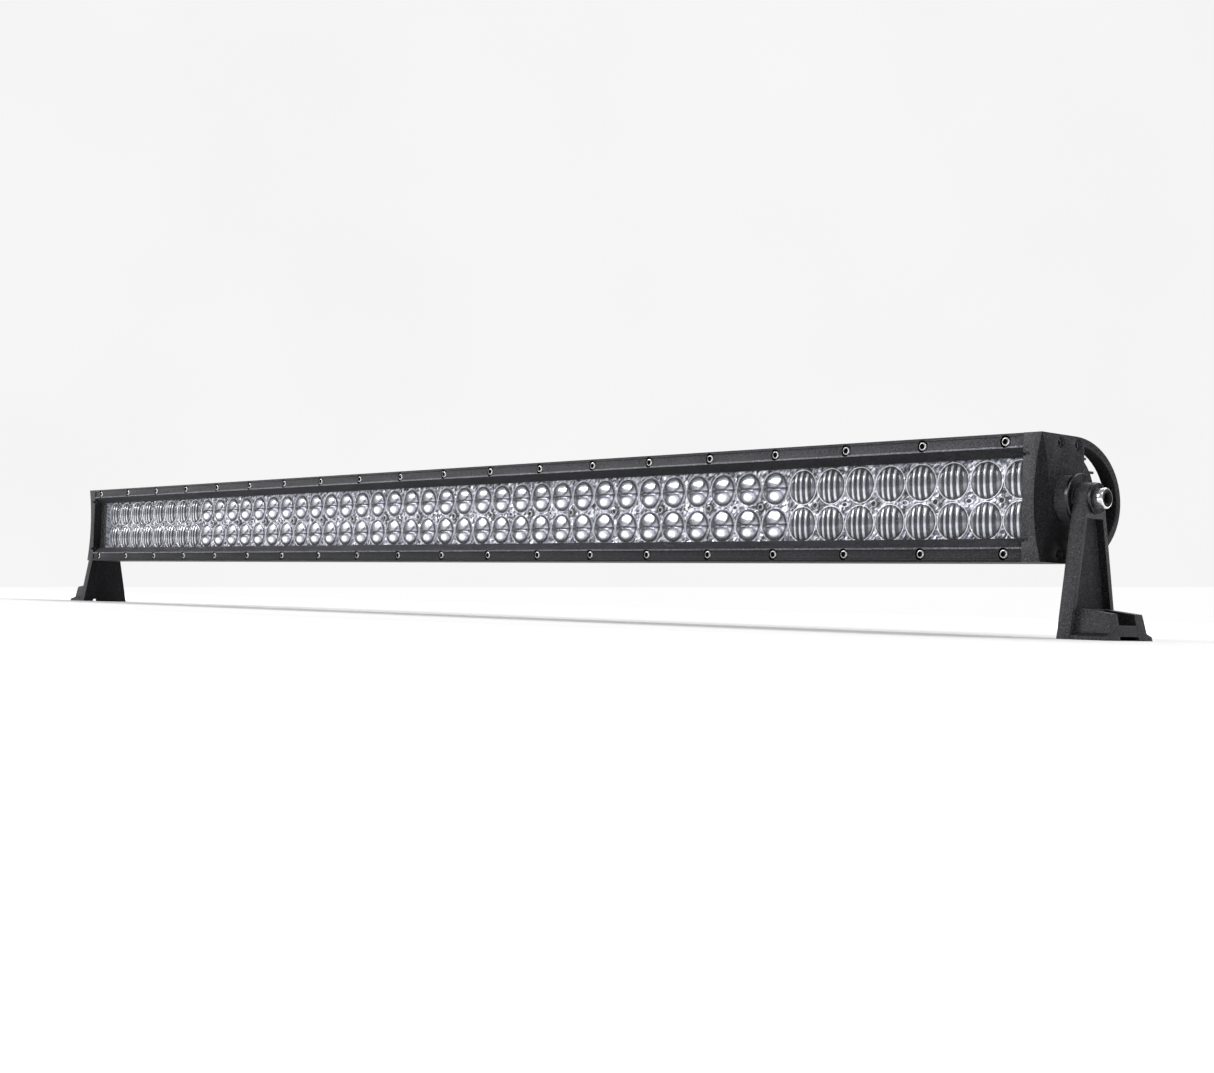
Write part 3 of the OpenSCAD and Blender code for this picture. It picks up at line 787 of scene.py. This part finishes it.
def outer_end(node, side):
    """How far out along the bar a node reaches, to its left or right."""
    low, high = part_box(node)
    return high.x if side > 0 else low.x


def end_screw_heads(side_name, side):
    node = f"end_screws_{side_name}"
    seat_x = outer_end(node, side) - side * END_SCREW[1] * MM
    placings = []
    for depth in END_SCREW_DEPTHS:
        for up in (-1, 1):
            at = (seat_x, FRONT_Y + depth, PIVOT_Z + up * END_SCREW_HEIGHT)
            placings.append(turned_anyhow((side, 0, 0), at))
    add_screws(node, "_heads", END_SCREW, placings)


def tray_screw_heads():
    placings = []
    for index in range(1, GROUPS + 1):
        low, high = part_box(f"lens_group_{index}")
        for k in SCREW_COLUMNS:
            at = ((low.x + high.x) / 2 + k * LENS_PITCH, PLATE_Y - TRAY_SCREW_LIFT, PIVOT_Z)
            placings.append(turned_anyhow((0, -1, 0), at))
    add_screws("tray_screws", "_heads", TRAY_SCREW, placings)


def pivot_bolt_head(side_name, side):
    node = f"pivot_bolt_{side_name}"
    at = Vector((outer_end(node, side) - side * PIVOT_BOLT[1] * MM, 0, PIVOT_Z))
    placing = facing((side, 0, 0), at, BOLT_SPIN)
    add_screws(node, "_polished", PIVOT_BOLT, [placing], bolt_steel, BOLT_SEGMENTS)


def toothed_ring(node, side, teeth, tooth_in, rim_edge):
    """A ring with radial teeth on its outer face and a narrow chamfer round its rim."""
    low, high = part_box(node)
    outer_r = (high.z - low.z) / 2
    thickness = high.x - low.x
    segments = teeth * 4
    profile = [
        (PIVOT_BORE_R, 0, 0), (outer_r, 0, 0), (outer_r, thickness - rim_edge, 0),
        (outer_r - rim_edge, thickness, 0), (outer_r - rim_edge - TOOTH_LAND, thickness, 1),
        (tooth_in, thickness, 1), (tooth_in - TOOTH_SLOPE, thickness, 0), (PIVOT_BORE_R, thickness, 0),
    ]
    points = []
    for radius, height, toothed in profile:
        for k in range(segments):
            angle = 2 * math.pi * k / segments
            cut = TOOTH_HEIGHT if toothed and k % 4 in (0, 1) else 0
            points.append((radius * math.cos(angle), radius * math.sin(angle), height - cut))
    faces = rings_to_faces(len(profile), segments)
    last = (len(profile) - 1) * segments
    faces += [(last + k, last + (k + 1) % segments, (k + 1) % segments, k) for k in range(segments)]
    base_x = low.x if side > 0 else high.x
    placing = facing((side, 0, 0), Vector((base_x, 0, PIVOT_Z)))
    mesh = scattered(node + "_teeth", (points, faces, [0] * len(faces)), [placing])
    shade(add_piece(node + "_teeth", mesh, [dark_steel], "light_bar", node), 30)


rail_screw_heads("rail_screws_top", 1)
rail_screw_heads("rail_screws_bottom", -1)
tray_screw_heads()
for side_name, side in (("left", -1), ("right", 1)):
    end_screw_heads(side_name, side)
    pivot_bolt_head(side_name, side)
    toothed_ring(f"pivot_disc_{side_name}", side, teeth=48, tooth_in=11 * MM, rim_edge=0.5 * MM)
    toothed_ring(f"tooth_washer_{side_name}", side, teeth=36, tooth_in=6.8 * MM, rim_edge=0.3 * MM)

# ---- castings and extrusions with softened edges ----

# Where each coat begins and ends: heights over or under the pivots, depths from the bar's front.
COUNTERBORE_R = 4.3 * MM
COUNTERBORE_DEPTHS = (0.25 * MM, 4 * MM)
LIP_HEIGHT = 39.2 * MM
BEZEL_HEIGHT = 31 * MM
RIDGE_HEIGHTS = (BEZEL_HEIGHT - 0.3 * MM, BEZEL_HEIGHT + 1.2 * MM)
PANEL_X = (648 * MM, 652 * MM)
CHANNEL_TOP = 12 * MM
BOSS_X = 642 * MM
CAP_DEPTH = 50 * MM
WAIST_DEPTH = 14 * MM

RAIL_EDGE = 0.25 * MM
HOUSING_EDGE = 0.2 * MM
NUT_EDGE = 0.4 * MM
CAP_EDGE = 0.5 * MM
BRACKET_EDGE = 0.7 * MM


def off_pivot_height(centre):
    """How far a face lies over or under the pivots."""
    return abs(centre.z - PIVOT_Z)


def outward_turn(centre, normal):
    """How far a face looks away from the bar's middle, -1 to 1."""
    return normal.x if centre.x > 0 else -normal.x


def in_counterbore(centre, normal):
    """Inside one of the round recesses round the rail screws."""
    depth = centre.y - FRONT_Y
    if depth < COUNTERBORE_DEPTHS[0] or depth > COUNTERBORE_DEPTHS[1]:
        return False
    steps = centre.x / RAIL_SCREW_PITCH - 0.5
    off_x = (steps - round(steps)) * RAIL_SCREW_PITCH
    off_z = off_pivot_height(centre) - RAIL_SCREW_HEIGHT
    return math.hypot(off_x, off_z) < COUNTERBORE_R


def on_top_lip(centre, normal):
    """On the rails' outermost chamfer and ledge."""
    return off_pivot_height(centre) > LIP_HEIGHT and normal.y < -0.3


def on_bezel(centre, normal):
    """On the rails' inner slope, next to the cover."""
    return off_pivot_height(centre) < BEZEL_HEIGHT


def on_ridge(centre, normal):
    """On the narrow ridge between the screw strip and the inner slope."""
    return RIDGE_HEIGHTS[0] < off_pivot_height(centre) < RIDGE_HEIGHTS[1] and normal.y < -0.5


def on_panel(centre, normal):
    """On the sunk panel of a leg or the floor of its foot's channel."""
    sunk = outward_turn(centre, normal) > 0.9 and PANEL_X[0] < abs(centre.x) < PANEL_X[1]
    return sunk or (normal.z > 0.9 and centre.z < CHANNEL_TOP)


def on_shaded_face(centre, normal):
    """On a bracket's inner face or the walls inside its panel and channel."""
    inner = abs(normal.x) > 0.9 and abs(centre.x) < PANEL_X[0]
    toward_middle = normal.y * centre.y < 0 and abs(normal.y) > 0.8
    return inner or toward_middle


def on_cap_side(centre, normal):
    """On a cap's flat end face."""
    return abs(normal.x) > 0.85 and centre.y < FRONT_Y + CAP_DEPTH and abs(centre.x) < BOSS_X


def on_rim(centre, normal):
    """On the open rim behind a cap."""
    return centre.y > FRONT_Y + CAP_DEPTH


def on_waist(centre, normal):
    """On the hollow that runs down a cap's front corner."""
    return centre.y < FRONT_Y + WAIST_DEPTH and outward_turn(centre, normal) > 0.3 and normal.y < -0.2


# Each zone coat is a lit or shaded copy of the one powder coat: painted shade in the counterbores, on the rails'
# outer lip, on the top rail's inner slope, on the caps' sides, rims and front hollows, on the legs' panels,
# channel floors and inner faces and on the bottom rail outside its inner slope, and a painted highlight on the
# ridge.
SHARED_ZONES = [(on_ridge, coat_ridge_highlight), (on_top_lip, coat_recess_shade), (in_counterbore, coat_recess_shade)]
TOP_RAIL_ZONES = [(on_bezel, coat_bezel_shade)] + SHARED_ZONES
BOTTOM_RAIL_ZONES = [(on_bezel, coat_rail)] + SHARED_ZONES
BRACKET_ZONES = [(on_panel, coat_panel_shade), (on_shaded_face, coat_waist_shade)]
CAP_ZONES = [(on_cap_side, coat_side_shade), (on_rim, coat_rim_shade), (on_waist, coat_waist_shade)]
softened("top_rail", RAIL_EDGE, coat_rail, "light_bar", zones=TOP_RAIL_ZONES)
# The bottom rail takes the darker painted-shade coat, with its inner slope in the plain rail coat.
softened("bottom_rail", RAIL_EDGE, coat_panel_shade, "light_bar", zones=BOTTOM_RAIL_ZONES)
softened("heatsink_housing", HOUSING_EDGE, coat, "light_bar")
softened("gland_nut", NUT_EDGE, nylon, "light_bar")
for side_name in ("left", "right"):
    softened(f"end_cap_{side_name}", CAP_EDGE, coat, "light_bar", zones=CAP_ZONES)
    bracket = f"bracket_{side_name}"
    softened(bracket, BRACKET_EDGE, coat, bracket, segments=3, zones=BRACKET_ZONES)

# ---- stage: floor, backdrop and light ----

FLOOR_REACH = 9
FLOOR_OVAL = (1.0, 2.2, 1.0)
GLOW_FROM, GLOW_FULL = 0.8, 1.35
FLOOR_CLOUDS_PER_METRE = 1.5
CARD_CLOUDS_PER_METRE = 0.7
CARD_DISTANCE = 8.5
CARD_HALF_WIDTH = 0.6
RISER_FOOT, WALL_FOOT, WALL_TOP = -0.05, -0.02882, 0.5
WORLD_COLOR = (0.93, 0.93, 0.94)
WORLD_STRENGTH = 0.34

# Name, place, aim, width and height, and power in watts.
SOFTBOXES = [
    ("top_softbox", (0.2, 1.1, 1.5), (0.2, 0, 0), (2.2, 0.7), 30),
    ("front_softbox", (-1.9, -2.2, 1.5), (0, 0, 0.08), (2.2, 1.2), 60),
    ("end_softbox", (2.1, -0.7, 1.5), (0.6, 0, 0.1), (0.7, 0.7), 9),
]


def flat_stage(name, corners, material):
    mesh = bpy.data.meshes.new(name)
    mesh.from_pydata([tuple(c) for c in corners], [], [tuple(range(len(corners)))])
    mesh.materials.append(material)
    obj = bpy.data.objects.new(name, mesh)
    bpy.context.scene.collection.objects.link(obj)


def stepped(tree, value, start, end):
    """A smooth step along a value: 0 before start and 1 after end."""
    node = tree.nodes.new("ShaderNodeMapRange")
    node.interpolation_type = "SMOOTHSTEP"
    node.inputs["From Min"].default_value = start
    node.inputs["From Max"].default_value = end
    link(tree, value, node.inputs["Value"])
    return node.outputs["Result"]


def distance_out(tree):
    """Distance from the middle of the floor, measured on an oval round the bar."""
    place = tree.nodes.new("ShaderNodeTexCoord")
    shaped = tree.nodes.new("ShaderNodeMapping")
    shaped.inputs["Scale"].default_value = FLOOR_OVAL
    reach = tree.nodes.new("ShaderNodeVectorMath")
    reach.operation = "LENGTH"
    link(tree, place.outputs["Object"], shaped.inputs["Vector"])
    link(tree, shaped.outputs["Vector"], reach.inputs[0])
    return reach.outputs["Value"]


def lit_floor(name, color):
    """White paper that takes the bar's soft shadow, lit evenly from below further out."""
    material, tree, principled = shader(name, color, 0.8, Specular_IOR_Level=0.1, Emission_Strength=1.0)
    cloud = noise(tree, FLOOR_CLOUDS_PER_METRE, 2)
    darker = tuple(c * 0.985 for c in color)
    further_out = stepped(tree, distance_out(tree), GLOW_FROM, GLOW_FULL)
    link(tree, ramp(tree, cloud, [(0.3, darker), (0.7, color)]), principled.inputs["Base Color"])
    link(tree, ramp(tree, further_out, [(0.0, grey(0)), (1.0, grey(1))]), principled.inputs["Emission Color"])
    return material


def glowing(name, color):
    """A lit paper backdrop: soft even glow with the faintest cloud."""
    material, tree, principled = shader(name, grey(0), 1.0, Specular_IOR_Level=0.0, Emission_Strength=1.0)
    cloud = noise(tree, CARD_CLOUDS_PER_METRE, 2)
    darker = tuple(c * 0.975 for c in color)
    link(tree, ramp(tree, cloud, [(0.3, darker), (0.7, color)]), principled.inputs["Emission Color"])
    return material


def backdrop_card(name, low, high, material):
    """A card square to the camera. low and high are slopes above its axis."""
    right, up, forward = camera_axes()
    corners = []
    for across, rise in ((-1, low), (1, low), (1, high), (-1, high)):
        corners.append(CAMERA_AT + CARD_DISTANCE * (forward + across * CARD_HALF_WIDTH * right + rise * up))
    flat_stage(name, corners, material)


def add_area(name, at, aim, size, power):
    data = bpy.data.lights.new(name, "AREA")
    data.shape = "RECTANGLE"
    data.size, data.size_y = size
    data.energy = power
    light = bpy.data.objects.new(name, data)
    light.matrix_world = facing(Vector(at) - Vector(aim), Vector(at))
    bpy.context.scene.collection.objects.link(light)


def set_world(color, strength):
    world = bpy.data.worlds.new("studio")
    world.use_nodes = True
    background = world.node_tree.nodes["Background"]
    background.inputs["Color"].default_value = (*color, 1)
    background.inputs["Strength"].default_value = strength
    bpy.context.scene.world = world


floor_corners = [(x * FLOOR_REACH, y * FLOOR_REACH, 0) for x, y in ((-1, -1), (1, -1), (1, 1), (-1, 1))]
flat_stage("floor", floor_corners, lit_floor("floor_white", grey(0.9)))
backdrop_card("riser", RISER_FOOT, WALL_FOOT, glowing("paper_white", grey(1.0)))
backdrop_card("wall", WALL_FOOT, WALL_TOP, glowing("paper_grey", grey(0.927)))
set_world(WORLD_COLOR, WORLD_STRENGTH)
for softbox in SOFTBOXES:
    add_area(*softbox)
bpy.context.scene.view_settings.view_transform = "Standard"

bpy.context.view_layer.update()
